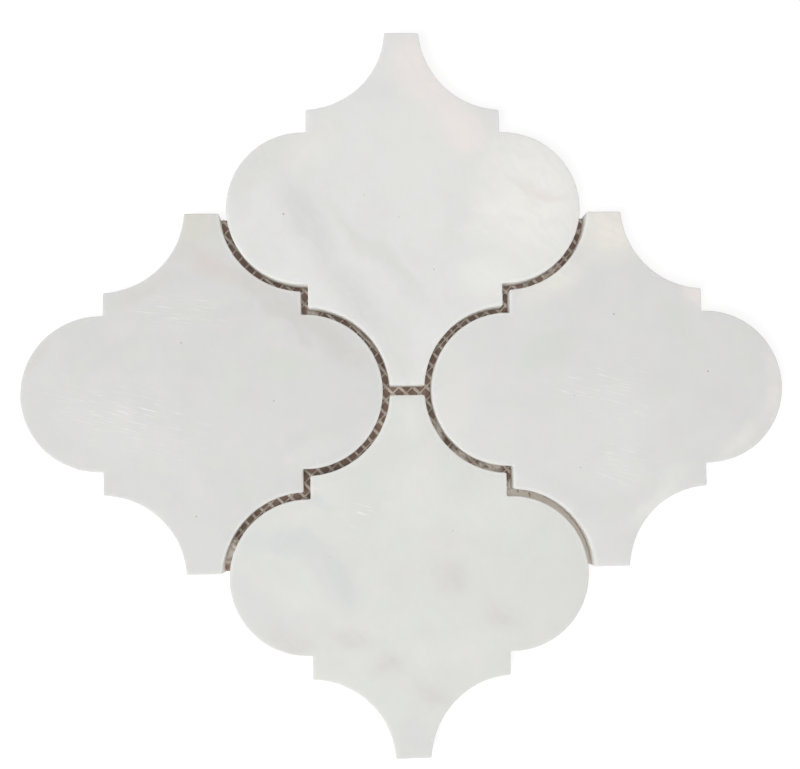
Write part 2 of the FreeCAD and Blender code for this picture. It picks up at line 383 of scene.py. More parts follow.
def arris_rings(rim, directions, strays, arrises):
    """The rings of a tile's eased and chipped arris, each with its share of light."""
    rings = []
    for step in range(ARRIS_STEPS + 1):
        angle = math.pi / 2 * step / ARRIS_STEPS
        insets = [size * (1 - math.cos(angle)) + stray for size, stray in zip(arrises, strays)]
        ring = [
            (x, y, TILE_FACE - face_drop(size) - size * (1 - math.sin(angle)))
            for (x, y), size in zip(moved_in(rim, directions, insets), arrises)
        ]
        rings.append((ring, 1.0))
    return rings


def face_rings():
    """The rings of a tile's face, which the polish rounds over, each with its share of light."""
    rings = []
    for inset in POLISH_INSETS:
        loop = softened(mirrored(quarter_rim(inset, RIM_SPACING)), CORNER_PASSES)
        ring = at_height(loop, TILE_FACE - face_drop(inset))
        rings.append((ring, math.exp(-inset / HALO_REACH)))
    return rings


def make_tile(name, materials, seed):
    """One marble tile with an eased, slightly chipped rim and a softly rounded face.

    materials holds the polished face's and then the cut walls'.
    """
    centre = TILES[name]
    rim = softened(mirrored(quarter_rim(0, RIM_SPACING)), CORNER_PASSES)
    directions = inward_directions(rim)
    glow = rim_glow(rim, directions, centre)
    strays, arrises = cut_edge(rim, seed)
    walls = wall_rings(rim, directions, strays)
    rings = walls + arris_rings(rim, directions, strays, arrises) + face_rings()
    vertices = [(x + centre[0], y + centre[1], z) for ring, share in rings for x, y, z in ring]

    count = len(rim)
    on_face, on_walls = 0, 1
    faces, slots = [], []
    for band in range(len(rings) - 1):
        faces += bridge_rings(band * count, (band + 1) * count, count)
        slots += [on_face if band >= len(walls) else on_walls] * count
    faces.append(tuple(range(len(vertices) - count, len(vertices))))
    slots.append(on_face)
    faces.append(tuple(range(count - 1, -1, -1)))
    slots.append(on_walls)
    piece = new_piece(name + "_marble", vertices, faces, slots, materials)
    store(piece, "rim", [share * level for ring, share in rings for level in glow])
    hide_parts(name)


def crossings(outline, origin, direction):
    """Where a line meets a closed outline, as distances along the line, in pairs."""
    across = Vector((-direction.y, direction.x))
    sides = [(Vector(point) - origin).dot(across) for point in outline]
    found = []
    for i, side in enumerate(sides):
        last = sides[i - 1]
        if (side > 0) != (last > 0):
            share = last / (last - side)
            met = Vector(outline[i - 1]).lerp(Vector(outline[i]), share)
            found.append((met - origin).dot(direction))
    found.sort()
    return list(zip(found[::2], found[1::2]))


def make_strands(name, direction, shift, pitch_rings, profile, path, material):
    """Parallel strands across the backing, each a tube of the given section along its path.

    pitch_rings is the number of a tube's rings in one pitch of the mesh.
    """
    outline = backing_outline(BACKING_INSET, 2 * MM)
    across = Vector((-direction.y, direction.x))
    sides = len(profile)
    vertices, faces = [], []
    reach = max(Vector(point).length for point in outline)
    lines = round(reach / MESH_PITCH)
    for line in range(-lines, lines + 1):
        offset = line * MESH_PITCH + shift
        for start, end in crossings(outline, across * offset, direction):
            count = max(2, round((end - start) / MESH_PITCH * pitch_rings))
            first = len(vertices)
            for ring in range(count + 1):
                distance = start + (end - start) * ring / count
                swing, height, scale = path(line, distance)
                for out, up in profile:
                    place = direction * distance + across * (offset + swing + out * scale)
                    vertices.append((place.x, place.y, height + up * scale))
            for ring in range(count):
                low = first + ring * sides
                faces += bridge_rings(low, low + sides, sides)
            faces.append(tuple(first + i for i in reversed(range(sides))))
            faces.append(tuple(first + count * sides + i for i in range(sides)))
    faces = [tuple(reversed(face)) for face in faces]
    piece = new_piece(name, vertices, faces, [0] * len(faces), [material])
    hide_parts("mesh_backing")


def oval(width, thickness, sides):
    """Points round an oval section."""
    return [
        (width / 2 * math.cos(angle), thickness / 2 * math.sin(angle))
        for angle in spread(0, 2 * math.pi, sides)
    ]


def wander(distance, line, waves, apart, layer):
    """A noise value at a distance along a strand, unlike that of the strands beside it."""
    return noise.noise(Vector((distance / MM * waves, line * apart, layer)))


def broad_path(line, distance):
    """A broad strand: nearly straight, thinner and thicker by turns."""
    swing = STRAND_SWAY * wander(distance, line, *BROAD_SWAY)
    scale = 1 + BROAD_UNEVENNESS * wander(distance, line, *BROAD_SWELL)
    return swing, MESH_MIDDLE, scale


def yarn_path(side):
    """One yarn of a fine pair: it swaps sides with its twin between the broad strands."""

    def path(line, distance):
        turn = 2 * math.pi * (distance - SHIFT_ALONG) / MESH_PITCH
        sway = STRAND_SWAY * wander(distance, line, *YARN_SWAY)
        scale = 1 + YARN_UNEVENNESS * wander(distance, line, *YARN_SWELL, side)
        swing = side * YARN_SWING * math.cos(turn / 2) + sway
        height = MESH_MIDDLE + side * YARN_LIFT * math.cos(turn)
        return swing, height, scale

    return path


# Where adhesive fills the mesh: place and radius in millimetres, and share. A share past 1
# widens the part that is filled to the full.
FILLED = [
    ((14, -17), 6, 0.6),
    ((24, -27), 7, 0.55),
    ((36, -33), 7, 0.7),
    ((47, -44), 7, 1.0),
    ((56, -46), 8, 1.2),
    ((65, -52), 9, 1.5),
    ((73, -61), 9, 1.6),
    ((77, -72), 8, 1.5),
    ((64, 53), 7, 0.3),
    ((-40, 35), 4, 0.5),
    ((-61, -49), 4, 0.15),
    ((-76, -68), 7, 0.8),
]


def fill_of(x, y):
    """How much adhesive fills the mesh at a place, from 0 to 1."""
    place = Vector((x / MM, y / MM))
    deepest = 0.0
    for centre, radius, share in FILLED:
        away = (place - Vector(centre)).length / radius
        deepest = max(deepest, share * (1 - away * away))
    uneven = 1.0 + FILL_UNEVENNESS * noise_at(x, y, *FILL_NOISE)
    return min(1.0, max(0.0, deepest * uneven))


NEIGHBOURS = [
    (JOINT_SEARCH * math.cos(angle), JOINT_SEARCH * math.sin(angle))
    for angle in spread(0, 2 * math.pi, SEARCH_DIRECTIONS)
]


def between_tiles(x, y):
    """Whether a point of the backing lies in a joint, or close to one under a tile's rim."""
    bridge_x = ARC_X + ARC_RADIUS - JOINT / 2 - BACKING_INSET - EDGE_CLEARANCE
    bridge_y = ARC_Y - JOINT / 2 - NECK_RELIEF - BACKING_INSET - EDGE_CLEARANCE
    if abs(x) > bridge_x and abs(y) > bridge_y:
        return False
    near = [inside_tile(x + dx, y + dy, 0) for dx, dy in NEIGHBOURS]
    if inside_tile(x, y, 0):
        return not all(near)
    return sum(near) >= SEARCH_DIRECTIONS / 2


def film_points(outline):
    """Grid points of the bonding film, few of them where the tiles hide it."""
    columns = round(max(x for x, y in outline) / FILM_GRID)
    rows = round(max(y for x, y in outline) / FILM_GRID)
    points = []
    for column in range(-columns, columns + 1):
        for row in range(-rows, rows + 1):
            x, y = column * FILM_GRID, row * FILM_GRID
            if inside_tile(x, y, HIDDEN_INSET):
                kept = column % HIDDEN_STEP == 0 and row % HIDDEN_STEP == 0
            else:
                kept = inside_tile(x, y, BACKING_INSET + EDGE_CLEARANCE) or between_tiles(x, y)
            if kept:
                points.append(Vector((x, y)))
    return points


def film_faces(triangles, count):
    """A film's faces, from its top's triangles. Its underside's vertices follow at count."""
    pairs = dict.fromkeys(
        pair for a, b, c in triangles for pair in ((a, b), (b, c), (c, a))
    )
    faces = [tuple(triangle) for triangle in triangles]
    faces += [(c + count, b + count, a + count) for a, b, c in triangles]
    faces += [(b, a, a + count, b + count) for a, b in pairs if (b, a) not in pairs]
    return faces


def make_coat(material):
    """The bonding coat: a thin film over the whole backing, finer where the joints show it."""
    outline = backing_outline(BACKING_INSET, 1.5 * MM)
    ring = [Vector(point) for point in outline]
    edges = [(i, (i + 1) % len(ring)) for i in range(len(ring))]
    flat, _, triangles = delaunay_2d_cdt(ring + film_points(outline), edges, [], 1, 1e-7)[:3]

    fills = [fill_of(point.x, point.y) for point in flat]
    vertices = []
    for (x, y), fill in zip(flat, fills):
        ripple = FILM_RIPPLE * noise_at(x, y, *TOP_NOISE)
        vertices.append((x, y, COAT_TOP - FILM_DIP + ripple + FILL_RISE * fill))
    for x, y in flat:
        ripple = UNDERSIDE_RIPPLE * noise_at(x, y, *UNDERSIDE_NOISE)
        vertices.append((x, y, FILM_UNDERSIDE + ripple))
    faces = film_faces(triangles, len(flat))
    piece = new_piece("bonding_film", vertices, faces, [0] * len(faces), [material])
    store(piece, "fill", fills + [0.0] * len(flat))
    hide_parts("bonding_coat")


# Materials

# Noise patterns: waves a millimetre, detail and roughness.
CLOUDED = (0.07, 5.0, 0.55)
MOTTLED = (0.085, 4.0, 0.6)
BROKEN = (0.16, 4.0, 0.6)
GRAIN = (1.6, 2.0, 0.7)
UNEVEN_RIM = (0.12, 3.0, 0.5)
UNEVEN_POLISH = (0.3, 4.0, 0.5)
SWELLS = (0.09, 2.0, 0.5)
STAINED = (0.12, 4.0, 0.6)
WORN = (0.5, 4.0, 0.6)
FIBRES = (5.0, 3.0, 0.6)
BROWNED = (0.22, 5.0, 0.6)
LUMPS = (0.9, 4.0, 0.6)

# Patterns of a place that is drawn out first: waves to a streak, detail and roughness.
STREAKY = (1.0, 3.0, 0.6)
JET_LINES = (1.0, 4.0, 0.65)

# Length and width of the streaks in the veins and of the scratches, in millimetres, and the
# waves a millimetre of the water jet's lines, across and upright.
VEIN_STREAK = (16.0, 2.2)
SCRATCH = (12.0, 0.6)
JET_SCALE = (2.4, 2.4, 0.25)

# How the stone's marks are bent: waves a millimetre, and millimetres.
BENDS = [(0.045, 16.0), (0.25, 3.0)]

# A patch's half height in millimetres, so tall that a tile's own height hardly counts, and the
# share of its size within which it is at its strongest.
PATCH_HEIGHT = 60
PATCH_CORE = 0.15

# How much of a mark's colour shows at its strongest.
MOTTLE_SHARE = 0.25
GRAIN_SHARE = 0.04
SCRATCH_SHARE = 0.75
HALO_SHARE = 0.25
PIT_SHARE = 0.75
STAIN_SHARE = 0.3
FOOT_STAIN_AND_SHADE_SHARE = 0.3
JOINT_SHADE_SHARE = 0.6

# Roughness of each surface, from and to, and what scratches and the chipped rim add to it.
POLISH_ROUGHNESS = (0.17, 0.27)
CUT_ROUGHNESS = (0.55, 0.75)
STRAND_ROUGHNESS = (0.4, 0.6)
COAT_ROUGHNESS = (0.45, 0.65)
SCRATCH_ROUGHNESS = 0.05
RIM_ROUGHNESS = 0.22

# The polish's relief, as shares of its depth.
SWELL_HEIGHT = 0.6
PIT_DEPTH = 0.5
SCRATCH_DEPTH = 0.01

# Relief of each surface: strength, and depth in metres.
POLISH_RELIEF = (0.25, 0.1 * MM)
CUT_RELIEF = (0.6, 0.12 * MM)
STRAND_RELIEF = (0.5, 0.05 * MM)
COAT_RELIEF = (0.7, 0.15 * MM)

# Light in the marble: its refraction, its share and its depth in metres at the polished face and
# in the walls, and how far each colour goes.
MARBLE_IOR = 1.5
FACE_GLOW = (0.3, 2.2 * MM)
WALL_GLOW = (1.0, 7.0 * MM)
GLOW_RADIUS = (1.0, 0.95, 0.85)

# Heights in millimetres between which the walls darken towards their foot, with adhesive stain
# and painted shade, and between which the strands brown where they dip.
FOOT_STAIN_AND_SHADE = (6.5, 0.8)
BROWNED_DIP = (0.34, 0.24)


def colour(red, green, blue):
    """A linear colour from the 0 to 255 values that a screen shows."""
    def linear(level):
        share = level / 255
        return share / 12.92 if share <= 0.04045 else ((share + 0.055) / 1.055) ** 2.4
    return (linear(red), linear(green), linear(blue), 1.0)


def feed(socket, value):
    """Links a socket to another, or sets its value."""
    if isinstance(value, bpy.types.NodeSocket):
        socket.id_data.links.new(value, socket)
    else:
        socket.default_value = value


def add_node(tree, kind, inputs=None, **settings):
    """A new node with its settings, and its inputs by name or number."""
    made = tree.nodes.new(kind)
    for name, value in settings.items():
        setattr(made, name, value)
    for name, value in (inputs or {}).items():
        feed(made.inputs[name], value)
    return made


def calculate(tree, operation, first, second):
    """A Math node's result."""
    return add_node(
        tree, "ShaderNodeMath", {0: first, 1: second}, operation=operation
    ).outputs[0]


def mix(tree, share, first, second):
    """A colour between two others. The node's colour sockets share their names, so go by number."""
    made = tree.nodes.new("ShaderNodeMix")
    made.data_type = "RGBA"
    for number, value in ((0, share), (6, first), (7, second)):
        feed(made.inputs[number], value)
    return made.outputs[2]


def cloud(tree, place, pattern):
    """A noise value, mostly from 0.3 to 0.7, in one of the noise patterns."""
    scale, detail, rough = pattern
    return add_node(
        tree, "ShaderNodeTexNoise",
        {"Vector": place, "Scale": scale, "Detail": detail, "Roughness": rough},
    ).outputs["Fac"]


def ramp(tree, value, low, high, to_low=0.0, to_high=1.0):
    """A smooth step of a value."""
    return add_node(
        tree, "ShaderNodeMapRange",
        {"Value": value, "From Min": low, "From Max": high, "To Min": to_low, "To Max": to_high},
        interpolation_type="SMOOTHSTEP",
    ).outputs["Result"]


def full_range(tree, value, to_low=0.0, to_high=1.0):
    """A noise value spread over the whole range."""
    return ramp(tree, value, 0.3, 0.7, to_low, to_high)


def bumped(tree, height, relief):
    """The surface direction that a height gives, with a relief's strength and depth."""
    strength, depth = relief
    return add_node(
        tree, "ShaderNodeBump", {"Strength": strength, "Distance": depth, "Height": height}
    ).outputs["Normal"]


def dress(shader, shade, roughness, normal):
    """Gives a shader its colour, roughness and surface direction."""
    feed(shader.inputs["Base Color"], shade)
    feed(shader.inputs["Roughness"], roughness)
    feed(shader.inputs["Normal"], normal)


def in_millimetres(tree):
    """The place on the sheet in millimetres."""
    where = add_node(tree, "ShaderNodeTexCoord").outputs["Object"]
    return add_node(
        tree, "ShaderNodeVectorMath", {0: where, "Scale": 1 / MM}, operation="SCALE"
    ).outputs[0]


def height_of(tree, place):
    """The height of a place."""
    return add_node(tree, "ShaderNodeSeparateXYZ", {0: place}).outputs["Z"]


def stored(tree, name):
    """A value that a piece's points hold."""
    return add_node(tree, "ShaderNodeAttribute", attribute_name=name).outputs["Fac"]


def warped(tree, place, scale, amount):
    """A place pushed about by noise, by up to half the amount."""
    pushed = add_node(
        tree, "ShaderNodeTexNoise", {"Vector": place, "Scale": scale, "Detail": 3.0}
    ).outputs["Color"]
    centred = add_node(
        tree, "ShaderNodeVectorMath", {0: pushed, 1: (0.5, 0.5, 0.5)}, operation="SUBTRACT"
    ).outputs[0]
    scaled = add_node(
        tree, "ShaderNodeVectorMath", {0: centred, "Scale": amount}, operation="SCALE"
    ).outputs[0]
    return add_node(
        tree, "ShaderNodeVectorMath", {0: place, 1: scaled}, operation="ADD"
    ).outputs[0]


def patch(tree, place, centre, half, turn):
    """A soft oval patch: 1 in its middle and 0 past its rim."""
    moved = add_node(
        tree, "ShaderNodeMapping",
        {
            "Vector": place,
            "Location": (*centre, 0),
            "Rotation": (0, 0, math.radians(turn)),
            "Scale": (*half, PATCH_HEIGHT),
        },
        vector_type="TEXTURE",
    ).outputs[0]
    away = add_node(
        tree, "ShaderNodeVectorMath", {0: moved}, operation="LENGTH"
    ).outputs["Value"]
    return ramp(tree, away, 1.0, PATCH_CORE)


def streaks(tree, place, turn, size):
    """A noise value drawn out along a turn, with the length and width of its streaks."""
    drawn = add_node(
        tree, "ShaderNodeMapping",
        {"Vector": place, "Rotation": (0, 0, math.radians(turn)), "Scale": (*size, size[0])},
        vector_type="TEXTURE",
    ).outputs[0]
    return cloud(tree, drawn, STREAKY)


def new_material(name):
    """An empty node material with its shader."""
    material = bpy.data.materials.new(name)
    material.use_nodes = True
    return material, material.node_tree, material.node_tree.nodes["Principled BSDF"]


def make_translucent(shader, glow):
    """Gives marble the light that it lets in at one face and out at another."""
    shader.inputs["IOR"].default_value = MARBLE_IOR
    shader.inputs["Subsurface Weight"].default_value = glow[0]
    shader.inputs["Subsurface Radius"].default_value = GLOW_RADIUS
    shader.inputs["Subsurface Scale"].default_value = glow[1]


# Colours of the polished stone and its marks.
PINK = colour(239, 232, 228)
VEIN = colour(232, 226, 221)
CREAM = colour(239, 238, 233)
SAND = colour(238, 234, 226)
WHITE = colour(240, 238, 235)
PALE = colour(229, 230, 226)
SMOKE = colour(219, 219, 216)
GREY = colour(215, 215, 213)
OLIVE = colour(215, 213, 204)
RUST = colour(214, 208, 204)
BROWN = colour(211, 209, 205)
DUSK = colour(207, 204, 201)
MOSS = colour(213, 216, 208)
BLUE = colour(209, 213, 212)
BLUSH = colour(226, 219, 218)
LEAF = colour(219, 222, 212)
# HALO is a painted highlight along the rims.
HALO = colour(246, 246, 244)
PIT = colour(150, 144, 136)

# Colours of the cut stone, of its stains and of its foot, which is stained and in painted shade.
CUT_DARK = colour(243, 240, 234)
CUT_LIGHT = colour(252, 250, 245)
CUT_STAIN = colour(234, 224, 210)
CUT_FOOT_STAIN_AND_SHADE = colour(222, 211, 197)

# Colours of the mesh, the coat and the adhesive, and of the mesh and coat in painted shade.
STRAND_DARK = colour(204, 192, 180)
STRAND_LIGHT = colour(233, 225, 215)
STRAND_DIPPED = colour(150, 124, 106)
STRAND_IN_SHADE = colour(150, 138, 126)
COAT_DARK = colour(130, 108, 97)
COAT_LIGHT = colour(158, 136, 123)
COAT_IN_SHADE = colour(98, 80, 70)
ADHESIVE = colour(238, 231, 222)

# What marks each tile's stone: colour, share, centre, half length and width in millimetres, and
# the turn of the length in degrees.
MARKS = {
    "tile_top": [
        (PALE, 1.0, (8, 98), (26, 46), 0),
        (PALE, 0.5, (-14, 112), (34, 20), 20),
        (SAND, 0.3, (-45, 104), (26, 12), 30),
        (CREAM, 1.0, (56, 84), (38, 52), 0),
        (PALE, 0.9, (38, 50), (24, 16), 20),
        (CREAM, 0.5, (36, 48), (18, 12), 20),
        (SMOKE, 0.9, (-62, 98), (30, 14), 45),
        (GREY, 0.9, (-41, 72), (36, 12), -60),
        (GREY, 1.0, (-19, 37), (36, 14), -58),
        (SMOKE, 1.0, (-12, 60), (50, 6), -46),
        (SMOKE, 0.5, (-61, 58), (16, 14), 0),
        (SMOKE, 0.5, (-70, 82), (10, 14), 0),
        (SMOKE, 0.4, (20, 38), (12, 10), 0),
        (SMOKE, 1.0, (-4, 18), (16, 24), 0),
        (PINK, 1.0, (9, 137), (34, 15), -66),
        (PINK, 0.9, (27, 112), (18, 12), -55),
        (VEIN, 0.9, (58, 87), (24, 3.5), -20),
        (WHITE, 0.9, (43, 79), (12, 6), 0),
        (WHITE, 0.7, (55, 98), (9, 4), -10),
    ],
    "tile_left": [
        (OLIVE, 1.0, (-88, 72), (14, 15), 0),
        (RUST, 1.0, (-81, 54), (24, 8), -28),
        (DUSK, 0.5, (-64, 45), (20, 9), -42),
        (DUSK, 0.7, (-48, 33), (26, 11), -38),
        (DUSK, 0.7, (-29, 19), (22, 9), -42),
        (BROWN, 0.7, (-112, 45), (26, 6), 25),
        (BROWN, 0.7, (-158, 14), (20, 5), 62),
        (GREY, 0.8, (-42, 2), (28, 24), -30),
        (MOSS, 0.9, (-52, 12), (18, 10), -20),
        (MOSS, 0.6, (-74, 2), (7, 15), 0),
        (MOSS, 0.5, (-141, 6), (6, 11), 0),
        (MOSS, 0.6, (-90, 33), (15, 4), -5),
        (MOSS, 0.6, (-73, -42), (8, 6), 0),
        (PALE, 0.3, (-42, -29), (22, 8), 25),
        (PALE, 0.25, (-122, -14), (34, 14), -15),
        (PALE, 0.1, (-96, -34), (26, 14), -40),
        (GREY, 0.9, (-88, -60), (14, 22), 0),
        (DUSK, 0.6, (-50, 30), (7, 3), -40),
        (DUSK, 0.6, (-43, 22), (8, 3), -50),
    ],
    "tile_right": [
        (SAND, 1.0, (90, 70), (23, 22), 0),
        (SAND, 0.7, (64, 47), (24, 10), 35),
        (SAND, 0.2, (21, -2), (13, 34), 8),
        (MOSS, 0.6, (60, 16), (24, 12), 20),
        (MOSS, 0.4, (117, 26), (22, 9), -38),
        (GREY, 0.3, (131, -4), (24, 18), 0),
        (PALE, 0.3, (88, -12), (32, 22), -15),
        (PALE, 0.3, (92, -34), (16, 12), -15),
        (GREY, 0.5, (72, -46), (20, 10), -40),
        (PINK, 1.0, (126, 38), (12, 8), -30),
        (PINK, 0.5, (157, 0), (24, 6), 88),
        (SAND, 0.5, (144, -24), (18, 7), 35),
        (CREAM, 0.5, (107, -48), (28, 7), 42),
    ],
    "tile_bottom": [
        (PALE, 0.3, (2, -44), (26, 30), 0),
        (PALE, 0.4, (36, -52), (32, 18), 0),
        (PALE, 0.3, (30, -106), (14, 12), 0),
        (PALE, 0.3, (-48, -87), (20, 14), 0),
        (PALE, 0.25, (8, -112), (22, 10), 0),
        (SMOKE, 0.8, (62, -87), (22, 18), 40),
        (SMOKE, 0.7, (26, -90), (24, 15), -50),
        (SMOKE, 0.6, (-24, -112), (24, 10), -30),
        # Painted shade: this grey patch darkens the stone where the lower-left lamp lights it most.
        (GREY, 1.0, (-70, -88), (32, 16), -62),
        (GREY, 1.0, (-54, -103), (30, 20), -35),
        (GREY, 1.0, (0, -148), (14, 18), 0),
        (PALE, 0.4, (0, -12), (12, 14), 0),
        (BLUE, 1.0, (-51, -65), (21, 9), -14),
        (BLUE, 0.8, (-40, -46), (10, 4), -25),
        (BLUE, 0.4, (-68, -62), (9, 12), 20),
        (GREY, 1.0, (-34, -78), (24, 11), -48),
        (BLUE, 0.7, (-31, -81), (13, 5), -50),
        (DUSK, 0.4, (-56, -104), (18, 10), -35),
        (BROWN, 0.75, (18, -80), (14, 9), -35),
        (BROWN, 0.75, (37, -95), (14, 10), -50),
        (BROWN, 0.9, (-26, -104), (14, 9), -25),
        (BROWN, 0.9, (-10, -117), (13, 9), 25),
        (BROWN, 0.8, (9, -130), (17, 9), -25),
        (BROWN, 0.5, (-50, -109), (8, 5), -30),
    ],
}

# The turn of the streaks in each tile's veins, in degrees.
VEIN_TURN = {"tile_top": -52, "tile_left": -35, "tile_right": -30, "tile_bottom": -48}

# Where the polish left fine scratches: centre, half length and width, and turn.
SCRATCHED = {
    "tile_top": [((30, 70), (30, 12), -5)],
    "tile_left": [((-118, -10), (50, 24), -16), ((-96, 34), (34, 10), -8)],
    "tile_right": [((84, 0), (40, 20), -16), ((92, -32), (28, 16), -16)],
    "tile_bottom": [((-20, -52), (20, 8), -15)],
}

# Pits in the polished faces, in millimetres on the sheet, with their radius.
PITS = {
    "tile_top": [(-51.7, 76.2, 0.55), (12.3, 51.9, 0.35), (-2.4, 74.7, 0.3), (-17.0, 84.3, 0.3)],
    "tile_left": [(-95.6, 21.3, 0.45), (-56.8, -3.8, 0.4), (-89.8, -52.2, 0.45)],
    "tile_right": [(89.9, 31.8, 0.5), (130.4, 6.5, 0.5), (71.8, -3.2, 0.3), (73.7, -34.2, 0.35)],
    "tile_bottom": [(18.3, -60.1, 0.3), (-34.0, -70.3, 0.25)],
}

# Each tile's own stone. The bottom tile's is set a little darker, a painted shade against the
# brighter light of the lower-left lamp.
STONE = {
    "tile_top": colour(226, 226, 224),
    "tile_left": colour(214, 214, 212),
    "tile_right": colour(220, 220, 218),
    "tile_bottom": colour(218, 219, 215),
}


def veined_stone(tree, place, bent, name):
    """The stone's colour: its clouds, a faint pink and green mottling, and this tile's marks."""
    stone = STONE[name]
    darker, lighter = [
        tuple(min(1.0, channel * gain) for channel in stone[:3]) + (1.0,)
        for gain in (0.985, 1.015)
    ]
    shade = mix(tree, full_range(tree, cloud(tree, bent, CLOUDED)), darker, lighter)
    mottle = cloud(tree, place, MOTTLED)
    shade = mix(tree, ramp(tree, mottle, 0.5, 0.68, 0.0, MOTTLE_SHARE), shade, BLUSH)
    shade = mix(tree, ramp(tree, mottle, 0.5, 0.32, 0.0, MOTTLE_SHARE), shade, LEAF)

    broken = ramp(tree, cloud(tree, bent, BROKEN), 0.25, 0.6, 0.65, 1.0)
    drawn = streaks(tree, bent, VEIN_TURN[name], VEIN_STREAK)
    broken = calculate(tree, "MULTIPLY", broken, ramp(tree, drawn, 0.3, 0.62, 0.7, 1.05))
    for tint, share, centre, half, turn in MARKS[name]:
        amount = calculate(tree, "MULTIPLY", patch(tree, bent, centre, half, turn), broken)
        shade = mix(tree, calculate(tree, "MULTIPLY", amount, share), shade, tint)

    grain = cloud(tree, place, GRAIN)
    shade = mix(tree, ramp(tree, grain, 0.5, 0.85, 0.0, GRAIN_SHARE), shade, WHITE)
    return mix(tree, ramp(tree, grain, 0.5, 0.15, 0.0, GRAIN_SHARE), shade, GREY)


def scratches(tree, place, bent, name):
    """How much the face is scratched, from 0 to 1."""
    scored = 0.0
    for centre, half, turn in SCRATCHED[name]:
        area = patch(tree, bent, centre, half, turn)
        line = ramp(tree, streaks(tree, place, turn, SCRATCH), 0.54, 0.74)
        scored = calculate(tree, "MAXIMUM", calculate(tree, "MULTIPLY", area, line), scored)
    return scored


def pits(tree, place, name):
    """How much the face is pitted, from 0 to 1."""
    pitted = 0.0
    for x, y, radius in PITS[name]:
        away = add_node(
            tree, "ShaderNodeVectorMath", {0: place, 1: (x, y, TILE_FACE / MM)},
            operation="DISTANCE",
        ).outputs["Value"]
        pitted = calculate(tree, "MAXIMUM", ramp(tree, away, radius, radius * 0.4), pitted)
    return pitted


def polished_marble(name):
    """The polished face: this tile's veined stone with its scratches, pits and a painted highlight
    along its rim.
    """
    material, tree, shader = new_material(name + "_polished")
    place = in_millimetres(tree)
    bent = place
    for scale, amount in BENDS:
        bent = warped(tree, bent, scale, amount)
    scored = scratches(tree, place, bent, name)
    pitted = pits(tree, place, name)
    rim = stored(tree, "rim")

    shade = veined_stone(tree, place, bent, name)
    shade = mix(tree, calculate(tree, "MULTIPLY", scored, SCRATCH_SHARE), shade, WHITE)
    # Painted highlight: a pale line along the rim, mixed into the stone's colour.
    uneven = ramp(tree, cloud(tree, place, UNEVEN_RIM), 0.3, 0.66, 0.35, 1.0)
    rim_highlight = calculate(tree, "MULTIPLY", rim, uneven)
    shade = mix(tree, calculate(tree, "MULTIPLY", rim_highlight, HALO_SHARE), shade, HALO)
    shade = mix(tree, calculate(tree, "MULTIPLY", pitted, PIT_SHARE), shade, PIT)

    roughness = full_range(tree, cloud(tree, place, UNEVEN_POLISH), *POLISH_ROUGHNESS)
    for worn, share in ((scored, SCRATCH_ROUGHNESS), (rim, RIM_ROUGHNESS)):
        added = calculate(tree, "MULTIPLY", worn, share)
        roughness = calculate(tree, "ADD", roughness, added)
    height = calculate(tree, "MULTIPLY", cloud(tree, place, SWELLS), SWELL_HEIGHT)
    for worn, share in ((pitted, PIT_DEPTH), (scored, SCRATCH_DEPTH)):
        sunk = calculate(tree, "MULTIPLY", worn, share)
        height = calculate(tree, "SUBTRACT", height, sunk)
    dress(shader, shade, roughness, bumped(tree, height, POLISH_RELIEF))
    make_translucent(shader, FACE_GLOW)
    return material


def cut_marble():
    """The cut walls and the sawn back: matt stone with the jet's upright lines."""
    material, tree, shader = new_material("marble_cut")
    place = in_millimetres(tree)
    upright = add_node(
        tree, "ShaderNodeMapping", {"Vector": place, "Scale": JET_SCALE}
    ).outputs[0]
    lines = cloud(tree, upright, JET_LINES)
    shade = mix(tree, full_range(tree, lines), CUT_DARK, CUT_LIGHT)
    stain = ramp(tree, cloud(tree, place, STAINED), 0.5, 0.75, 0.0, STAIN_SHARE)
    shade = mix(tree, stain, shade, CUT_STAIN)
    # Painted shade with adhesive stain: the walls turn darker and warmer towards their foot and
    # stay pale near the top.
    foot_stain_and_shade = ramp(tree, height_of(tree, place), *FOOT_STAIN_AND_SHADE, 0.0, FOOT_STAIN_AND_SHADE_SHARE)
    shade = mix(tree, foot_stain_and_shade, shade, CUT_FOOT_STAIN_AND_SHADE)
    roughness = full_range(tree, lines, *CUT_ROUGHNESS)
    dress(shader, shade, roughness, bumped(tree, lines, CUT_RELIEF))
    make_translucent(shader, WALL_GLOW)
    return material


# Where the mesh and its coat are darker in some joints, as painted shade: centre, half length and
# width, and turn.
SHADED_JOINTS = [
    ((26, 28), (30, 14), 45),
    ((-26, -28), (30, 14), 45),
    ((71, 62), (20, 14), 60),
    ((-70, -56), (26, 14), 50),
]


def shaded_in_joints(tree, place, shade, tint):
    """A colour turned towards a darker one in some of the joints, as painted shade."""
    joint_shade = 0.0
    for centre, half, turn in SHADED_JOINTS:
        joint_shade = calculate(tree, "MAXIMUM", patch(tree, place, centre, half, turn), joint_shade)
    return mix(tree, calculate(tree, "MULTIPLY", joint_shade, JOINT_SHADE_SHARE), shade, tint)


def strand_material():
    """Coated glass-fibre: beige-grey, brown where it dips into the bonding coat."""
    material, tree, shader = new_material("glass_fibre")
    place = in_millimetres(tree)
    worn = full_range(tree, cloud(tree, place, WORN))
    shade = mix(tree, worn, STRAND_DARK, STRAND_LIGHT)
    dipped = ramp(tree, height_of(tree, place), *BROWNED_DIP)
    shade = mix(tree, dipped, shade, STRAND_DIPPED)
    # Painted shade in some joints.
    shade = shaded_in_joints(tree, place, shade, STRAND_IN_SHADE)
    fibres = cloud(tree, place, FIBRES)
    roughness = full_range(tree, fibres, *STRAND_ROUGHNESS)
    dress(shader, shade, roughness, bumped(tree, fibres, STRAND_RELIEF))
    return material


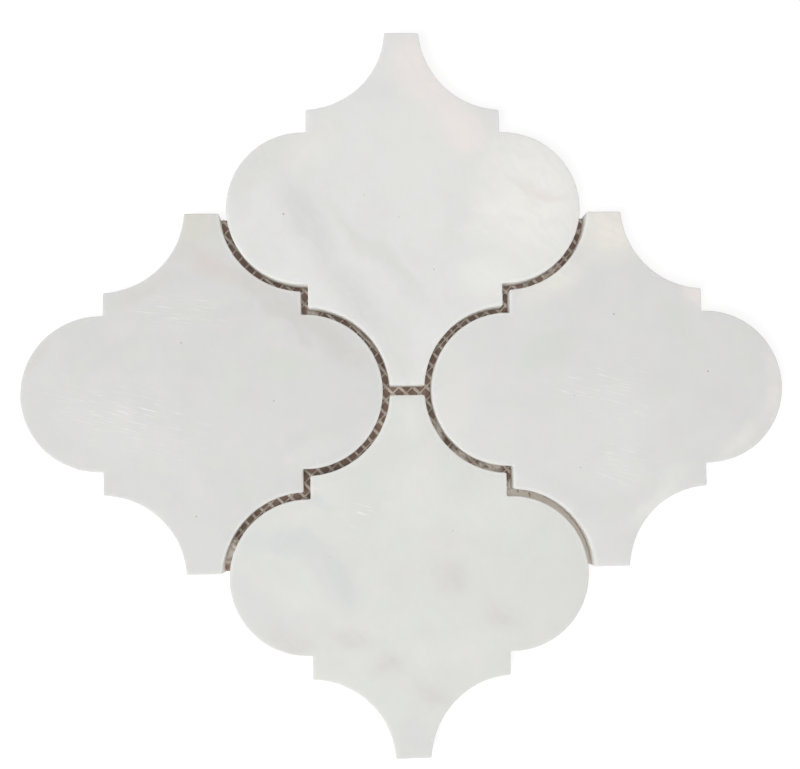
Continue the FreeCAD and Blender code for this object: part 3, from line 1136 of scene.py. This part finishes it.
def coat_material():
    """The bonding coat: brown, with paler adhesive where it fills the mesh."""
    material, tree, shader = new_material("bonding_coat")
    place = in_millimetres(tree)
    shade = mix(tree, full_range(tree, cloud(tree, place, BROWNED)), COAT_DARK, COAT_LIGHT)
    # Painted shade in some joints.
    shade = shaded_in_joints(tree, place, shade, COAT_IN_SHADE)
    shade = mix(tree, ramp(tree, stored(tree, "fill"), 0.1, 0.7), shade, ADHESIVE)
    lumps = cloud(tree, place, LUMPS)
    roughness = full_range(tree, lumps, *COAT_ROUGHNESS)
    dress(shader, shade, roughness, bumped(tree, lumps, COAT_RELIEF))
    return material


# Stage, light and camera

def seen_directly(tree):
    """1 for rays from the camera, from reflections and through glass, and 0 for the others."""
    path = add_node(tree, "ShaderNodeLightPath").outputs
    seen = calculate(tree, "MAXIMUM", path["Is Camera Ray"], path["Is Glossy Ray"])
    return calculate(tree, "MAXIMUM", seen, path["Is Transmission Ray"])


def make_stage():
    """A white floor that shows white to the camera, but keeps the sheet's shadow near it."""
    mesh = bpy.data.meshes.new("floor")
    corners = [(-1, -1), (1, -1), (1, 1), (-1, 1)]
    vertices = [(x * FLOOR_REACH, y * FLOOR_REACH, 0) for x, y in corners]
    mesh.from_pydata(vertices, [], [(0, 1, 2, 3)])
    floor = bpy.data.objects.new("floor", mesh)
    bpy.context.scene.collection.objects.link(floor)
    material, tree, painted = new_material("floor_white")
    painted.inputs["Base Color"].default_value = FLOOR_PAINT
    painted.inputs["Roughness"].default_value = FLOOR_ROUGHNESS
    painted.inputs["Specular IOR Level"].default_value = 0.0
    where = add_node(tree, "ShaderNodeTexCoord").outputs["Object"]
    away = add_node(
        tree, "ShaderNodeVectorMath", {0: where}, operation="LENGTH"
    ).outputs["Value"]
    glow = ramp(tree, away, *SHADOW_REACH, 1.0, FULL_GLOW)
    white = add_node(tree, "ShaderNodeEmission", {"Color": FLOOR_GLOW, "Strength": glow})
    shaded = add_node(tree, "ShaderNodeBsdfDiffuse", {"Color": FLOOR_SHADED})
    shown = add_node(tree, "ShaderNodeAddShader", {0: shaded.outputs[0], 1: white.outputs[0]})
    chosen = add_node(
        tree, "ShaderNodeMixShader",
        {0: seen_directly(tree), 1: painted.outputs[0], 2: shown.outputs[0]},
    )
    feed(tree.nodes["Material Output"].inputs["Surface"], chosen.outputs[0])
    mesh.materials.append(material)


def make_light():
    """Soft light from overhead and from the lower left, and a pale surround."""
    scene = bpy.context.scene
    world = bpy.data.worlds.new("surround")
    scene.world = world
    world.use_nodes = True
    tree = world.node_tree
    background = tree.nodes["Background"]
    background.inputs["Color"].default_value = (1, 1, 1, 1)
    strength = add_node(
        tree, "ShaderNodeMapRange",
        {"Value": seen_directly(tree), "To Min": SURROUND_LIGHT, "To Max": 1.0},
    ).outputs["Result"]
    feed(background.inputs["Strength"], strength)

    for name, place, size, watts in LAMPS:
        lamp = bpy.data.lights.new(name, "AREA")
        lamp.shape = "DISK"
        lamp.size = size
        lamp.energy = watts
        lamp_object = bpy.data.objects.new(name, lamp)
        lamp_object.location = place
        lamp_object.rotation_euler = (-Vector(place)).to_track_quat("-Z", "Y").to_euler()
        lamp_object.visible_glossy = False
        scene.collection.objects.link(lamp_object)


def make_camera():
    """The photograph's camera, above the sheet and a little below its centre."""
    turn_x, turn_y, turn_z = SHEET_TURN
    turn = (
        Matrix.Rotation(turn_x, 4, "X")
        @ Matrix.Rotation(turn_y, 4, "Y")
        @ Matrix.Rotation(turn_z, 4, "Z")
    )
    seen = Matrix.Translation((*SHEET_SHIFT, -CAMERA_DISTANCE)) @ turn
    data = bpy.data.cameras.new("photo_camera")
    data.sensor_width = SENSOR_WIDTH
    data.lens = FOCAL_PX * SENSOR_WIDTH / PHOTO_WIDTH_PX
    data.shift_x = -CUT_OUT_PX[0] / PHOTO_WIDTH_PX
    data.shift_y = CUT_OUT_PX[1] / PHOTO_WIDTH_PX
    data.clip_start = CLIP_START
    camera = bpy.data.objects.new("photo_camera", data)
    camera.matrix_world = Matrix.Translation((0, 0, TILE_FACE)) @ seen.inverted()
    bpy.context.scene.collection.objects.link(camera)
    bpy.context.scene.camera = camera


make_camera()
make_stage()
make_light()

cut = cut_marble()
for number, name in enumerate(TILES):
    make_tile(name, [polished_marble(name), cut], number + 1)

strand = strand_material()
broad_section = oval(BROAD_WIDTH, BROAD_THICKNESS, BROAD_SIDES)
make_strands(
    "broad_strands", UP_LEFT, -SHIFT_ALONG, BROAD_RINGS, broad_section, broad_path, strand
)
yarn_section = oval(YARN, YARN, YARN_SIDES)
for name, side in (("fine_yarns_a", 1), ("fine_yarns_b", -1)):
    make_strands(
        name, UP_RIGHT, SHIFT_ACROSS, YARN_RINGS, yarn_section, yarn_path(side), strand
    )
make_coat(coat_material())

bpy.context.scene.view_settings.view_transform = "Standard"
